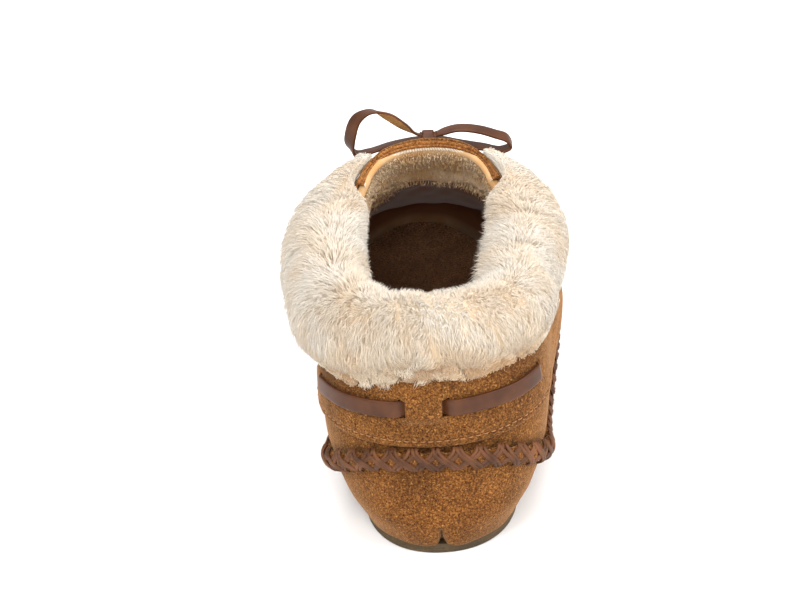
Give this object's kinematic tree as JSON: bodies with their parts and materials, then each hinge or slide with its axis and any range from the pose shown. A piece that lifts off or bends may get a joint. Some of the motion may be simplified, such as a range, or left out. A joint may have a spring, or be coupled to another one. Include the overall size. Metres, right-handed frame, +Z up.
{
  "type": "moccasin slipper",
  "caption": "Ankle-height suede moccasin slipper for the right foot with a deep fur cuff, laced heel band, braided seam, thin rubber sole and a leather bow.",
  "frame": {"origin": "on the floor under the middle of the heel seat, 45 mm ahead of the back of the sole", "axes": "+Z up, +Y from heel to toe, +X towards the little toe"},
  "size_m": [0.1069, 0.2564, 0.1199],
  "materials": {
    "outsole": "matt",
    "insole": "brushed suede",
    "upper": "suede",
    "fur": "deep fur",
    "band": "suede",
    "lace": "smooth, slightly waxed",
    "braid": "twisted strands",
    "binding": "rolled edge"
  },
  "bodies": {
    "root": {"outsole": "outsole", "insole": "insole", "upper": "upper", "fur_cuff": "fur", "collar_band": "band", "lace_heel": "lace", "braid": "braid", "throat_binding": "binding", "lace_front": "lace", "bow_knot": "lace", "bow_loop_left": "lace", "bow_loop_right": "lace", "bow_tail_left": "lace", "bow_tail_right": "lace"}
  },
  "joints": []
}
